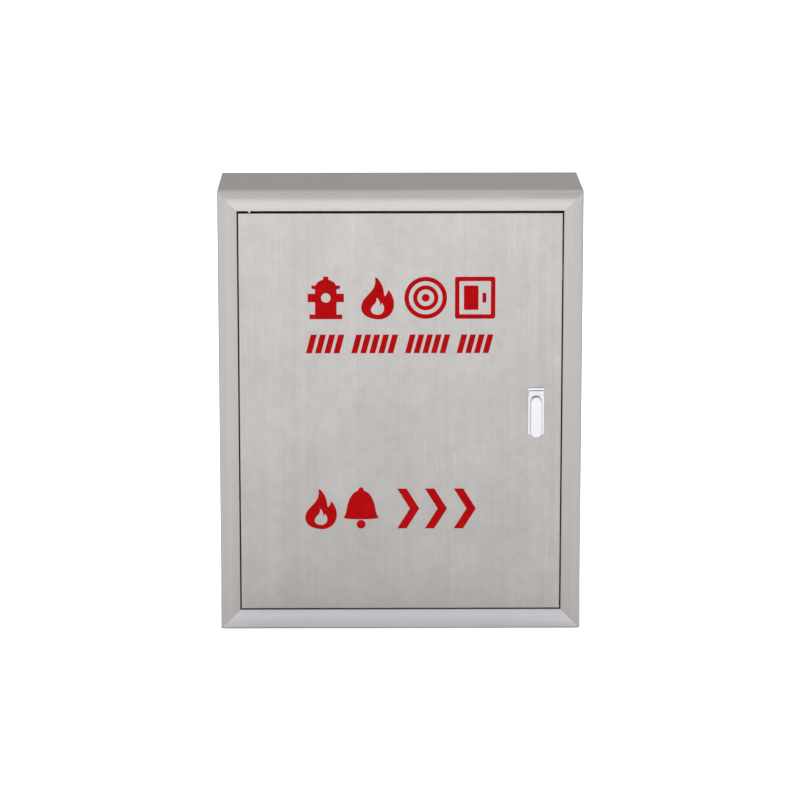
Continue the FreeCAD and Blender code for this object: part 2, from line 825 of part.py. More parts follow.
grommet = turned([(39, 0), (46, 0), (46, 1.2), (50, 1.2), (50, 4), (39, 4)])
node(place(grommet, valve_x, valve_y, 0), "riser_grommet")
grommet = turned([(13.6, 0), (18, 0), (18, 1.2), (22, 1.2), (22, 4), (13.6, 4)])
node(place(grommet, pipe_x, deep(pipe_deep), 0), "feed_grommet")

# ---------------------------------------------------------------- the reel

rear_face = as_size(172)
front_face = as_size(64)


def reel_disc():
    """A pressed disc with a dished middle and a curled rim; its inside is z = 0."""
    radius = reel_radius
    return turned([
        (20, 0), (72, 0), (80, 5), (150, 5), (158, 0), (radius - 4, 0),
        (radius, 1, 5, 1), (radius + 4, 5), (radius + 4, 8.5),
        (radius + 2.5, 8.5), (radius + 2.5, 6), (radius - 1, 2.5),
        (radius - 4.5, 1.5), (158.6, 1.5), (150.6, 6.5), (79.4, 6.5),
        (71.4, 1.5), (20, 1.5),
    ])


def on_reel(body, distance, facing):
    """Place a turned part on the reel axis, facing the front or the back."""
    angle = 90 if facing == "front" else -90
    return place(body, reel_x, deep(distance), reel_z, AXIS_X, angle)


bolt_ways = []
tie_bolts = []
for number in range(4):
    angle = math.radians(90 * number + 45)
    bolt_x = reel_x + 44 * math.cos(angle)
    bolt_z = reel_z + 44 * math.sin(angle)
    bolt_ways.append(rod("y", bolt_x, deep(50), bolt_z, 4, 140))
    shank = rod("y", bolt_x, deep(front_face) - 5, bolt_z, 4, rear_face - front_face + 9)
    head = prism("y", bolt_x, deep(front_face) - 7, bolt_z, 13, 5.5)
    tail = prism("y", bolt_x, deep(rear_face) + 1.5, bolt_z, 13, 2.4)
    tie_bolts.append(fuse(shank, head, tail))
front_disc = on_reel(reel_disc(), front_face, "front")
node(cut(front_disc, fuse(*bolt_ways)), "reel_disc_front")
rear_disc = on_reel(reel_disc(), rear_face, "back")
node(cut(rear_disc, fuse(*bolt_ways)), "reel_disc_rear")
node(fuse(*tie_bolts), "reel_bolts")
drum = ring("y", reel_x, deep(front_face), reel_z, drum_radius, drum_radius - 3,
            rear_face - front_face)
outlet_way = rod("z", reel_x, deep(150), reel_z + 20, 10, 50)
node(cut(drum, outlet_way), "reel_drum")
hub = ring("y", reel_x, deep(front_face) - 6, reel_z, 20, axle_radius + running,
           rear_face - front_face + 10)
outlet_bore = rod("z", reel_x, deep(150), reel_z + 5, 6, 60)
node(cut(hub, outlet_bore), "reel_hub")
outlet = fuse(
    rod("z", reel_x, deep(150), reel_z + 19.9, 9.9, 46),
    prism("z", reel_x, deep(150), reel_z + 57, 24, 6),
)
outlet = cut(outlet, rod("z", reel_x, deep(150), reel_z + 5, 6, 90),
             rod("y", reel_x, deep(100), reel_z, 20.0, 100))
node(outlet, "reel_outlet")

axle = ring("y", reel_x, deep(front_face) - 18, reel_z, axle_radius, 7,
            pipe_deep - front_face + 4)
port = rod("z", reel_x, deep(150), reel_z, 5, 20)
axle_plug = rod("y", reel_x, deep(front_face) - 18, reel_z, 7, 10)
collar = ring("y", reel_x, deep(rear_face) + 4.3, reel_z, 17, axle_radius - 1, 6.2)
node(fuse(cut(axle, port), axle_plug, collar), "reel_axle")
axle_nut = prism("y", reel_x, deep(front_face) - 16, reel_z, 36, 9.5)
node(cut(axle_nut, rod("y", reel_x, deep(front_face) - 20, reel_z, axle_radius, 20)),
     "axle_nut")

bracket_face = as_size(182.5)
bracket_plate = block(reel_x - 32, reel_x + 32, deep(bracket_face),
                      deep(bracket_face) + 3, reel_z - 80, reel_z + 80)
legs = []
feet = []
bracket_bolts = []
for side in (-1, 1):
    leg_z = reel_z + side * 78.5
    legs.append(block(reel_x - 32, reel_x + 32, deep(bracket_face),
                      back - 2 * sheet, leg_z - 1.5, leg_z + 1.5))
    foot_z = reel_z + side * 95
    feet.append(block(reel_x - 32, reel_x + 32, back - 2 * sheet - 3,
                      back - 2 * sheet, foot_z - 18, foot_z + 18))
    for across in (-20, 20):
        bracket_bolts.append(prism("y", reel_x + across, back - 2 * sheet - 8,
                                   foot_z + side * 4, 13, 5))
axle_way = rod("y", reel_x, deep(bracket_face) - 2, reel_z, axle_radius, 8)
node(cut(fuse(bracket_plate, *legs, *feet), axle_way), "reel_bracket")
node(fuse(*bracket_bolts), "bracket_bolts")

# ---------------------------------------------------------------- the feed

pipe_bore = pipe_radius - pipe_wall
pipe_y = deep(pipe_deep)
valve_low = as_size(404)
valve_high = as_size(456)
lower_pipe = ring("z", pipe_x, pipe_y, 0, pipe_radius, pipe_bore, valve_low)
pipe_thread = rod("z", pipe_x, pipe_y, -1, pipe_radius - 1.3, 19)
node(cut(lower_pipe, pipe_thread), "feed_pipe_lower")


def feed_path():
    """The upper run: up from the ball valve, round a bend and across."""
    body, planes = new_body()
    spine = sketch_on(body, planes["XZ_Plane"])
    bend = as_size(40)
    rise = reel_z - valve_high
    run = pipe_x - reel_x - 17
    low = VECTOR(0, 0, 0)
    first = VECTOR(0, (rise - bend).value, 0)
    second = VECTOR(-bend.value, rise.value, 0)
    third = VECTOR(-run.value, rise.value, 0)
    middle = VECTOR(-bend.value * (1 - math.sqrt(0.5)),
                    (rise - bend).value + bend.value * math.sqrt(0.5), 0)
    spine.addGeometry(Part.LineSegment(low, first))
    spine.addGeometry(Part.Arc(first, middle, second))
    spine.addGeometry(Part.LineSegment(second, third))
    pin_down(spine, 0, 1, 0, 0)
    pin_down(spine, 0, 2, 0, rise - bend)
    pin_down(spine, 2, 1, -bend, rise)
    pin_down(spine, 2, 2, -run, rise)
    arc_start = 1 if (spine.getPoint(1, 1) - first).Length < 1e-4 else 2
    spine.addConstraint(Sketcher.Constraint("Coincident", 0, 2, 1, arc_start))
    spine.addConstraint(Sketcher.Constraint("Coincident", 1, 3 - arc_start, 2, 1))
    bound = spine.addConstraint(Sketcher.Constraint("Radius", 1, bend.value))
    spine.setExpression(f"Constraints[{bound}]", bend.text)
    profile = sketch_on(body, planes["XY_Plane"])
    circle(profile, 0, 0, pipe_radius)
    circle(profile, 0, 0, pipe_bore)
    item = body.newObject("PartDesign::AdditivePipe", "Pipe")
    item.Profile = profile
    item.Spine = spine
    return body


node(place(feed_path(), pipe_x, pipe_y, valve_high), "feed_pipe_upper")
elbow_side = rod("x", reel_x - 17, pipe_y, reel_z, 17, 34)
elbow_front = rod("y", reel_x, pipe_y - 20, reel_z, 16, 16)
elbow_bore = rod("x", reel_x - 9, pipe_y, reel_z, pipe_bore, 27)
elbow_mouth = rod("y", reel_x, pipe_y - 15, reel_z, 7, 12)
elbow_thread = rod("y", reel_x, pipe_y - 21, reel_z, axle_radius, 7)
node(cut(fuse(elbow_side, elbow_front), elbow_bore, elbow_mouth, elbow_thread),
     "axle_elbow")

case_mid = (valve_low + valve_high) / 2
ball_case = fuse(
    rod("z", pipe_x, pipe_y, valve_low, 17, valve_high - valve_low),
    prism("z", pipe_x, pipe_y, valve_low, 38, 10),
    prism("z", pipe_x, pipe_y, valve_high - 10, 38, 10),
    rod("z", pipe_x, pipe_y, case_mid - 16, 21, 32),
    rod("y", pipe_x, pipe_y - 30, case_mid, 9, 30),
)
ball_room = DOC.addObject("Part::Sphere", "BallRoom")
bind(ball_room, "Radius", 15.5)
place(ball_room, pipe_x, pipe_y, case_mid)
case_way = rod("z", pipe_x, pipe_y, valve_low - 1, pipe_bore, valve_high - valve_low + 2)
stem_way = rod("y", pipe_x, pipe_y - 31, case_mid, 4 + running, 31)
node(cut(ball_case, ball_room, case_way, stem_way), "ball_valve_body")

ball = DOC.addObject("Part::Sphere", "BallShape")
bind(ball, "Radius", 15.2)
place(ball, pipe_x, pipe_y, case_mid)
ball_way = rod("z", pipe_x, pipe_y, case_mid - 20, 9, 40)
stem = rod("y", pipe_x, pipe_y - 42, case_mid, 4, 32)
node(fuse(cut(ball, ball_way), stem), "ball_and_stem")
lever_root = rod("y", pipe_x, pipe_y - 35, case_mid, 11, 4)
lever_arm = block(pipe_x - 9, pipe_x + 9, pipe_y - 35, pipe_y - 31,
                  case_mid - 92, case_mid)
lever = rounded(fuse(lever_root, lever_arm), 3, lengthwise)
node(cut(lever, rod("y", pipe_x, pipe_y - 37, case_mid, 4, 10)), "ball_lever")
sleeve = block(pipe_x - 11, pipe_x + 11, pipe_y - 37, pipe_y - 29,
               case_mid - 94, case_mid - 34)
sleeve = rounded(sleeve, 2.5, lambda edge: edge.BoundBox.ZLength > 30)
sleeve_core = block(pipe_x - 9, pipe_x + 9, pipe_y - 35, pipe_y - 31,
                    case_mid - 92, case_mid - 30)
node(cut(sleeve, sleeve_core), "lever_sleeve")
lever_nut = prism("y", pipe_x, pipe_y - 40, case_mid, 13, 5)
node(cut(lever_nut, rod("y", pipe_x, pipe_y - 42, case_mid, 4, 10)), "lever_nut")

clips = []
for level in (180, 330):
    strap = ring("z", pipe_x, pipe_y, level - 8, pipe_radius + 2, pipe_radius, 16)
    tab = block(pipe_x - 26, pipe_x - pipe_radius - 1, pipe_y - 1, pipe_y + 1,
                level - 8, level + 8)
    leg = block(pipe_x - 28, pipe_x - 26, pipe_y - 1, back - 2 * sheet,
                level - 8, level + 8)
    foot = block(pipe_x - 46, pipe_x - 26, back - 2 * sheet - 2, back - 2 * sheet,
                 level - 8, level + 8)
    clips.append(fuse(strap, tab, leg, foot))
node(fuse(*clips), "pipe_clips")

nozzle_clips = []
for level in (90, 230):
    seat = block(sheet - half_wide, sheet - half_wide + 3, deep(60), deep(110),
                 level - 9, level + 9)
    hoop = ring("z", 22.5 - half_wide, deep(85), level - 9, 19, 17, 18)
    slot = block(22.5 - half_wide, 50 - half_wide, deep(75), deep(95),
                 level - 10, level + 10)
    nozzle_clips.append(cut(fuse(seat, hoop), slot))
node(fuse(*nozzle_clips), "nozzle_clips")

# ---------------------------------------------------------------- check and write

DOC.recompute()
failed = [item.Name for item in DOC.Objects
          if "Invalid" in item.State or "Error" in item.State]
for item in NODES:
    if item.Shape.isNull() or not item.Shape.isValid():
        failed.append(item.Label)
if failed:
    raise RuntimeError("not built: " + ", ".join(failed))
os.makedirs("parts", exist_ok=True)
for item in NODES:
    item.Shape.exportStep(f"parts/{item.Label}.step")
    print(f"{item.Label:18s} solids {len(item.Shape.Solids)} "
          f"volume {item.Shape.Volume:12.1f}")
print(len(NODES), "nodes")
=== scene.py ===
import math

import bpy
from mathutils import Matrix, Vector


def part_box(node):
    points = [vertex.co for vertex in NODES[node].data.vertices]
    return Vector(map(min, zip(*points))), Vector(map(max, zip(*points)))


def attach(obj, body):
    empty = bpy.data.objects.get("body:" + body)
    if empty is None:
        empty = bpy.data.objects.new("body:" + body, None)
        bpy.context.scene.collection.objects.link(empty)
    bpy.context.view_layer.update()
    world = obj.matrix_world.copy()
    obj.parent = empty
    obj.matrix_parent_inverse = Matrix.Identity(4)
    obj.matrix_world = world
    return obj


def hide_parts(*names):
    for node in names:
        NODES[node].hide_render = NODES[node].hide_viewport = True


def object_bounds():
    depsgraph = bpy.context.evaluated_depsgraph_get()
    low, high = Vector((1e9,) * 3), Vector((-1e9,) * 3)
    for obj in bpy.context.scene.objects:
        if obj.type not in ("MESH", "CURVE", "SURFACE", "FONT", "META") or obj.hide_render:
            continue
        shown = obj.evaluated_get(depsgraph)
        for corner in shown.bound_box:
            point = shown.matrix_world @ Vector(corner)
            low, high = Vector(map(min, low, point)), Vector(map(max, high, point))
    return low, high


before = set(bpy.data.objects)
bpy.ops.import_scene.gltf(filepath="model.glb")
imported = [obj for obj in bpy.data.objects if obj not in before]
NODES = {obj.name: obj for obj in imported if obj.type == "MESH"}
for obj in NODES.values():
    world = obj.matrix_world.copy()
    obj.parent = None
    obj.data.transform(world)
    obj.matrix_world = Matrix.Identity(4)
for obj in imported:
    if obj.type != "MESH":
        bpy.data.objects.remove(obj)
CAD_BOX = [list(corner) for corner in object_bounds()]
SCENE = bpy.context.scene


# ------------------------------------------------------------ node helpers

class Graph:
    """A material's node tree, with short calls to add and link nodes."""

    def __init__(self, name):
        self.material = bpy.data.materials.new(name)
        self.material.use_nodes = True
        self.tree = self.material.node_tree
        self.tree.nodes.clear()
        self.shader = self.add("ShaderNodeBsdfPrincipled")
        output = self.add("ShaderNodeOutputMaterial")
        self.link(self.shader, 0, output, "Surface")

    def add(self, kind, **inputs):
        """A new node; keyword inputs are set on its sockets by name."""
        made = self.tree.nodes.new(kind)
        for name, value in inputs.items():
            made.inputs[name.replace("_", " ")].default_value = value
        return made

    def link(self, source, output, target, socket):
        """Join an output to an input."""
        self.tree.links.new(source.outputs[output], target.inputs[socket])

    def place(self, scale, rotation=(0, 0, 0)):
        """Object coordinates stretched and turned."""
        coordinates = self.add("ShaderNodeTexCoord")
        mapping = self.add("ShaderNodeMapping")
        mapping.inputs["Scale"].default_value = scale
        mapping.inputs["Rotation"].default_value = rotation
        self.link(coordinates, "Object", mapping, "Vector")
        return mapping

    def noise(self, scale, detail=3.0, rough=0.5, rotation=(0, 0, 0), distortion=0.0):
        """Noise with its own stretch along each axis; gives the node."""
        where = self.place(scale, rotation)
        made = self.add("ShaderNodeTexNoise", Scale=1.0, Detail=detail,
                        Roughness=rough, Distortion=distortion)
        self.link(where, 0, made, "Vector")
        return made

    def math(self, operation, first, second=0.0, clamp=False):
        """A math node on nodes or numbers."""
        made = self.add("ShaderNodeMath")
        made.operation = operation
        made.use_clamp = clamp
        for number, item in enumerate((first, second)):
            if isinstance(item, (int, float)):
                made.inputs[number].default_value = item
            else:
                self.tree.links.new(item.outputs[0], made.inputs[number])
        return made

    def spread(self, source, low, high, to_low=0.0, to_high=1.0):
        """Map a range of values on to another, clamped."""
        made = self.add("ShaderNodeMapRange")
        made.inputs["From Min"].default_value = low
        made.inputs["From Max"].default_value = high
        made.inputs["To Min"].default_value = to_low
        made.inputs["To Max"].default_value = to_high
        self.link(source, 0, made, "Value")
        return made

    def tint(self, factor, first, second):
        """Mix two colours, or a colour node and a colour, by a factor node."""
        made = self.add("ShaderNodeMix")
        made.data_type = "RGBA"
        self.tree.links.new(factor.outputs[0], made.inputs[0])
        for socket, item in ((6, first), (7, second)):
            if isinstance(item, tuple):
                made.inputs[socket].default_value = (*item, 1.0)
            else:
                self.tree.links.new(self.out(item), made.inputs[socket])
        return made

    @staticmethod
    def out(item):
        """The colour output of a mix node, or a node's first output."""
        if item.bl_idname == "ShaderNodeMix":
            return item.outputs[2]
        return item.outputs[0]

    def colour(self, item):
        """Drive the base colour."""
        self.tree.links.new(self.out(item), self.shader.inputs["Base Color"])

    def roughness(self, item):
        """Drive the roughness."""
        self.link(item, 0, self.shader, "Roughness")

    def bump(self, item, strength, distance):
        """Drive the normal from a height."""
        made = self.add("ShaderNodeBump")
        made.inputs["Strength"].default_value = strength
        made.inputs["Distance"].default_value = distance
        self.link(item, 0, made, "Height")
        self.link(made, 0, self.shader, "Normal")


def shade(colour, factor):
    """A colour made lighter or darker."""
    return tuple(min(1.0, part * factor) for part in colour)


GRAIN = {
    "x": (0, (1, 0, 0)),
    "z": (2, (0, 0, 1)),
}
BROAD_ALONG = 0.5
FINE_ALONG = 1.2
HAIR_ALONG = 8.0
SCRATCHES = ((0.5, 60.0), (-0.9, 45.0), (1.35, 70.0))


def brushed(name, colour, grain, rough=0.34, streak=1.0, mottle=0.0, scratch=0.0,
            anisotropy=0.55, fine=420.0, relief=0.16):
    """
    Brushed stainless sheet: streaks along the grain in tone, roughness and
    relief, cloudy patches, and fine stray scratches.
    """
    graph = Graph(name)
    axis, direction = GRAIN[grain]
    broad_scale = [fine * 0.22] * 3
    fine_scale = [fine] * 3
    hair_scale = [fine * 3.0] * 3
    broad_scale[axis] = BROAD_ALONG
    fine_scale[axis] = FINE_ALONG
    hair_scale[axis] = HAIR_ALONG
    broad = graph.noise(broad_scale, 2.0, 0.55)
    lines = graph.noise(fine_scale, 2.0, 0.6)
    hairs = graph.noise(hair_scale, 1.0, 0.5)
    cloud = graph.noise((7.0, 7.0, 7.0), 5.0, 0.6, distortion=0.6)
    patch = graph.noise((55.0, 55.0, 55.0), 4.0, 0.62, distortion=0.3)
    tone = graph.math("MULTIPLY", graph.math("SUBTRACT", broad, 0.5), 0.55 * streak)
    tone = graph.math("ADD", tone, graph.math(
        "MULTIPLY", graph.math("SUBTRACT", lines, 0.5), 0.8 * streak))
    tone = graph.math("ADD", tone, graph.math(
        "MULTIPLY", graph.math("SUBTRACT", cloud, 0.5), 0.5 + mottle))
    tone = graph.math("ADD", tone, graph.math(
        "MULTIPLY", graph.math("SUBTRACT", patch, 0.5), 1.2 * mottle))
    if scratch:
        for turn, stretch in SCRATCHES:
            marks = graph.noise((stretch * 6, stretch * 6, 2.2), 2.0, 0.4,
                                rotation=(0, turn, 0), distortion=0.15)
            ridge = graph.math("ABSOLUTE", graph.math("SUBTRACT", marks, 0.5))
            thin = graph.spread(ridge, 0.0, 0.012, 1.0, 0.0)
            region = graph.noise((9.0, 9.0, 9.0), 1.0, 0.5, rotation=(turn, 0, turn))
            seldom = graph.spread(region, 0.54, 0.66, 0.0, scratch)
            tone = graph.math("ADD", tone, graph.math("MULTIPLY", thin, seldom))
    factor = graph.math("ADD", tone, 0.5, clamp=True)
    graph.colour(graph.tint(factor, shade(colour, 0.84), shade(colour, 1.14)))
    gloss = graph.math("ADD", graph.math("MULTIPLY", graph.math(
        "SUBTRACT", lines, 0.5), 0.22), rough, clamp=True)
    gloss = graph.math("ADD", gloss, graph.math("MULTIPLY", graph.math(
        "SUBTRACT", cloud, 0.5), 0.10), clamp=True)
    graph.roughness(gloss)
    height = graph.math("ADD", graph.math("MULTIPLY", lines, 0.6),
                        graph.math("MULTIPLY", hairs, 0.4))
    graph.bump(height, relief, 0.0004)
    graph.shader.inputs["Metallic"].default_value = 1.0
    graph.shader.inputs["Anisotropic"].default_value = anisotropy
    graph.shader.inputs["Anisotropic Rotation"].default_value = 0.25
    along = graph.add("ShaderNodeCombineXYZ")
    for number, part in enumerate(direction):
        along.inputs[number].default_value = part
    world = graph.add("ShaderNodeVectorTransform")
    world.vector_type = "VECTOR"
    world.convert_from = "OBJECT"
    world.convert_to = "WORLD"
    graph.link(along, 0, world, "Vector")
    graph.link(world, 0, graph.shader, "Tangent")
    return graph.material


def plated(name, colour, rough=0.3, grain=90.0, spots=0.4):
    """Zinc or chrome plate: a soft cloudy metal with tiny pits."""
    graph = Graph(name)
    cloud = graph.noise((grain, grain, grain), 4.0, 0.6, distortion=0.4)
    pits = graph.noise((1500.0, 1500.0, 1500.0), 2.0, 0.5)
    tone = graph.spread(cloud, 0.3, 0.7)
    graph.colour(graph.tint(tone, shade(colour, 1.0 - 0.12 * spots),
                            shade(colour, 1.0 + 0.08 * spots)))
    graph.roughness(graph.spread(cloud, 0.3, 0.7, rough - 0.05, rough + 0.07))
    graph.bump(pits, 0.08, 0.0002)
    graph.shader.inputs["Metallic"].default_value = 1.0
    return graph.material


def enamel(name, colour, rough=0.32, cast=0.0):
    """Stove enamel or painted casting: orange peel, dust, and lighter convex edges that
    are part wear, part painted highlight.
    """
    graph = Graph(name)
    peel = graph.noise((420.0, 420.0, 420.0), 2.0, 0.5)
    grit = graph.noise((230.0, 230.0, 230.0), 6.0, 0.7)
    cloud = graph.noise((14.0, 14.0, 14.0), 4.0, 0.6, distortion=0.5)
    tone = graph.spread(cloud, 0.3, 0.7)
    paint = graph.tint(tone, shade(colour, 0.80), shade(colour, 1.12))
    geometry = graph.add("ShaderNodeNewGeometry")
    edge_wear_and_highlight = graph.add("ShaderNodeMapRange")
    edge_wear_and_highlight.inputs["From Min"].default_value = 0.53
    edge_wear_and_highlight.inputs["From Max"].default_value = 0.60
    graph.link(geometry, "Pointiness", edge_wear_and_highlight, "Value")
    # Convex edges, broken up by grit, turn a lighter red: partly wear, partly a painted
    # highlight.
    worn = graph.math("MULTIPLY", edge_wear_and_highlight, graph.spread(grit, 0.45, 0.62))
    paint = graph.tint(worn, paint, shade(colour, 1.6))
    graph.colour(paint)
    graph.roughness(graph.spread(cloud, 0.3, 0.7, rough - 0.06, rough + 0.10))
    height = graph.math("ADD", peel, graph.math("MULTIPLY", grit, cast))
    graph.bump(height, 0.12 + 0.25 * cast, 0.0005)
    graph.shader.inputs["Specular IOR Level"].default_value = 0.3
    graph.shader.inputs["Coat Weight"].default_value = 0.10
    graph.shader.inputs["Coat Roughness"].default_value = 0.22
    return graph.material


def rubber(name, colour, rough=0.6):
    """Moulded rubber or vinyl with a fine dull grain."""
    graph = Graph(name)
    grain = graph.noise((900.0, 900.0, 900.0), 3.0, 0.6)
    cloud = graph.noise((40.0, 40.0, 40.0), 3.0, 0.5)
    tone = graph.spread(cloud, 0.3, 0.7)
    graph.colour(graph.tint(tone, shade(colour, 0.8), shade(colour, 1.35)))
    graph.roughness(graph.spread(grain, 0.3, 0.7, rough - 0.08, rough + 0.1))
    graph.bump(grain, 0.2, 0.0002)
    graph.shader.inputs["Specular IOR Level"].default_value = 0.35
    return graph.material


def print_ink(name, colour):
    """Screen-printed ink on brushed steel: dense, a little uneven."""
    graph = Graph(name)
    speck = graph.noise((700.0, 700.0, 700.0), 3.0, 0.7)
    cloud = graph.noise((60.0, 60.0, 60.0), 3.0, 0.6)
    tone = graph.spread(cloud, 0.3, 0.7)
    ink = graph.tint(tone, shade(colour, 0.85), shade(colour, 1.18))
    worn = graph.spread(speck, 0.68, 0.74, 0.0, 0.5)
    graph.colour(graph.tint(worn, ink, (0.75, 0.45, 0.42)))
    graph.roughness(graph.spread(speck, 0.3, 0.7, 0.4, 0.55))
    graph.bump(speck, 0.05, 0.0002)
    graph.shader.inputs["Specular IOR Level"].default_value = 0.03
    return graph.material


STEEL = (0.390, 0.373, 0.360)
DOOR_STEEL = (0.388, 0.377, 0.368)
# The sill's steel is lighter and bluer than the rest: painted cool light from below on the
# same brushed steel.
SILL_STEEL_PAINTED_COOL_LIGHT = (0.452, 0.448, 0.475)
# The shade factors below make lit and shaded copies of one steel, so each face shows as
# bright as it does under the light: the darker wall_x steel is painted shade on the top
# face (it also covers the bottom and back panels), and the side members' steel_z is
# painted darker than the top member's steel_x.
MATERIALS = {
    "steel_x": brushed("steel_x", shade(STEEL, 1.015), "x", rough=0.42,
                       anisotropy=0.35),
    "sill": brushed("steel_sill", SILL_STEEL_PAINTED_COOL_LIGHT, "x", rough=0.50),
    "steel_z": brushed("steel_z", shade(STEEL, 0.805), "z", rough=0.42,
                       anisotropy=0.15),
    "door": brushed("steel_door", shade(DOOR_STEEL, 0.77), "z", rough=0.38, streak=0.7,
                    mottle=0.65, scratch=0.7, anisotropy=0.35, fine=520.0),
    "wall_x": brushed("steel_wall_x", shade(STEEL, 0.70), "x", rough=0.32, mottle=0.15,
                      scratch=0.2, relief=0.07),
    "wall_z": brushed("steel_wall_z", shade(STEEL, 0.86), "z", rough=0.34, mottle=0.15,
                      scratch=0.2),
    "lock": plated("lock_chrome", (0.485, 0.49, 0.515), rough=0.30),
    "zinc": plated("zinc_plate", (0.42, 0.435, 0.45), rough=0.36, spots=1.0),
    "pin": plated("bright_steel", (0.52, 0.52, 0.525), rough=0.22, spots=0.5),
    "brass": plated("brass", (0.50, 0.345, 0.125), rough=0.28, spots=1.0),
    "alloy": plated("alloy", (0.44, 0.445, 0.45), rough=0.38, grain=60.0, spots=0.8),
    "casting": enamel("red_casting", (0.42, 0.010, 0.010), rough=0.38, cast=1.0),
    "red": enamel("red_enamel", (0.40, 0.008, 0.008), rough=0.32),
    "black": rubber("black_rubber", (0.022, 0.022, 0.023)),
    "vinyl": rubber("red_vinyl", (0.40, 0.012, 0.011), rough=0.42),
    "weld": plated("weld_metal", (0.44, 0.41, 0.37), rough=0.42, grain=260.0, spots=2.0),
    "ink": print_ink("red_ink", (0.272, 0.0004, 0.0014)),
}

FINISH = {
    "steel_x": ["frame_top"],
    "sill": ["frame_bottom"],
    "steel_z": ["frame_left", "frame_right"],
    "door": ["door_skin"],
    "wall_x": ["top_panel", "bottom_panel", "back_panel"],
    "wall_z": ["left_panel", "right_panel"],
    "lock": ["lock_plate", "lock_handle", "lock_button"],
    "zinc": ["door_stiffeners", "hinge_blocks", "door_stops", "lock_housing", "lock_nut",
             "lock_cam", "cam_screw", "bonnet_bolts", "handwheel_nut", "reel_bolts",
             "bracket_bolts", "ball_lever", "lever_nut", "pipe_clips", "nozzle_clips"],
    "pin": ["pivot_pins", "button_spring", "lock_spindle", "handle_pin",
            "ball_and_stem"],
    "brass": ["hinge_bushes", "seat_ring", "gland_nut", "valve_disc", "valve_stem",
              "reel_hub", "reel_outlet", "reel_axle", "axle_nut", "axle_elbow",
              "ball_valve_body"],
    "alloy": ["outlet_coupling"],
    "casting": ["valve_body", "valve_bonnet", "handwheel"],
    "red": ["reel_disc_front", "reel_disc_rear", "reel_drum", "reel_bracket",
            "feed_pipe_lower", "feed_pipe_upper"],
    "black": ["stop_buffers", "disc_washer", "outlet_gasket", "riser_grommet",
              "feed_grommet"],
    "vinyl": ["lever_sleeve"],
}
for key, names in FINISH.items():
    for name in names:
        slots = NODES[name].material_slots
        for slot in slots:
            slot.material = MATERIALS[key]
        if not slots:
            NODES[name].data.materials.append(MATERIALS[key])


# ------------------------------------------------------------ printed marks

DOOR_LOW, DOOR_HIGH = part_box("door_skin")
INK_THICK = 0.00012
INK_Y = DOOR_LOW[1] - INK_THICK / 2
MM = 0.001


def arc_points(x, z, radius, start, stop, steps=32):
    """Points on an arc in millimetres; angles in degrees."""
    points = []
    for number in range(steps + 1):
        angle = math.radians(start + (stop - start) * number / steps)
        points.append((x + radius * math.cos(angle), z + radius * math.sin(angle)))
    return points


def bar_points(x0, x1, z0, z1, radius=1.5):
    """A rounded rectangle in millimetres."""
    points = []
    corners = ((x1 - radius, z1 - radius, 0), (x0 + radius, z1 - radius, 90),
               (x0 + radius, z0 + radius, 180), (x1 - radius, z0 + radius, 270))
    for x, z, start in corners:
        points += arc_points(x, z, radius, start, start + 90, 6)
    return points


def printed(name, outlines):
    """A thin printed mark on the door from closed outlines; holes by overlap."""
    curve = bpy.data.curves.new(name, "CURVE")
    curve.dimensions = "2D"
    curve.fill_mode = "BOTH"
    curve.extrude = INK_THICK / 2
    for points in outlines:
        spline = curve.splines.new("POLY")
        spline.points.add(len(points) - 1)
        for target, (x, z) in zip(spline.points, points):
            target.co = (x * MM, z * MM, 0, 1)
        spline.use_cyclic_u = True
    drawn = bpy.data.objects.new(name + "_curve", curve)
    SCENE.collection.objects.link(drawn)
    bpy.context.view_layer.update()
    mesh = bpy.data.meshes.new_from_object(
        drawn.evaluated_get(bpy.context.evaluated_depsgraph_get()))
    bpy.data.objects.remove(drawn)
    bpy.data.curves.remove(curve)
    mesh.transform(Matrix.Translation((0, INK_Y, 0)) @ Matrix.Rotation(
        math.radians(90), 4, "X"))
    finish_piece(name, mesh, "ink", "door")


def finish_piece(name, mesh, material, body, smooth=False):
    """Make an object from a mesh, paint it and hang it on its body."""
    mesh.name = name
    piece = bpy.data.objects.new(name, mesh)
    SCENE.collection.objects.link(piece)
    mesh.materials.clear()
    mesh.materials.append(MATERIALS[material])
    if smooth:
        for face in mesh.polygons:
            face.use_smooth = True
    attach(piece, body)
    return piece


def hydrant(x, z, size):
    """A pillar hydrant with two side outlets and a domed cap."""
    left = [
        (0.38, -0.50), (0.38, -0.39), (0.25, -0.39), (0.25, -0.10), (0.42, -0.10),
        (0.42, 0.10), (0.25, 0.10), (0.25, 0.20), (0.33, 0.22), (0.33, 0.29),
        (0.24, 0.29), (0.20, 0.36), (0.12, 0.41), (0.06, 0.43), (0.06, 0.50),
    ]
    right = [(-px, pz) for px, pz in reversed(left)]
    return [(x + px * size, z + pz * size) for px, pz in left + right]


def flame(x, z, size):
    """A flame with two tongues."""
    shape = [
        (0.00, -0.50), (0.20, -0.46), (0.34, -0.32), (0.38, -0.12), (0.33, 0.06),
        (0.24, 0.20), (0.21, 0.08), (0.15, 0.02), (0.14, 0.20), (0.06, 0.38),
        (-0.06, 0.50), (-0.04, 0.32), (-0.12, 0.16), (-0.24, 0.04), (-0.35, -0.10),
        (-0.37, -0.28), (-0.26, -0.43),
    ]
    return smooth_loop([(x + px * size, z + pz * size) for px, pz in shape])


def smooth_loop(points, rounds=3):
    """Round a closed outline by cutting its corners."""
    for _ in range(rounds):
        cut = []
        for number, point in enumerate(points):
            after = points[(number + 1) % len(points)]
            cut.append((point[0] * 0.75 + after[0] * 0.25,
                        point[1] * 0.75 + after[1] * 0.25))
            cut.append((point[0] * 0.25 + after[0] * 0.75,
                        point[1] * 0.25 + after[1] * 0.75))
        points = cut
    return points


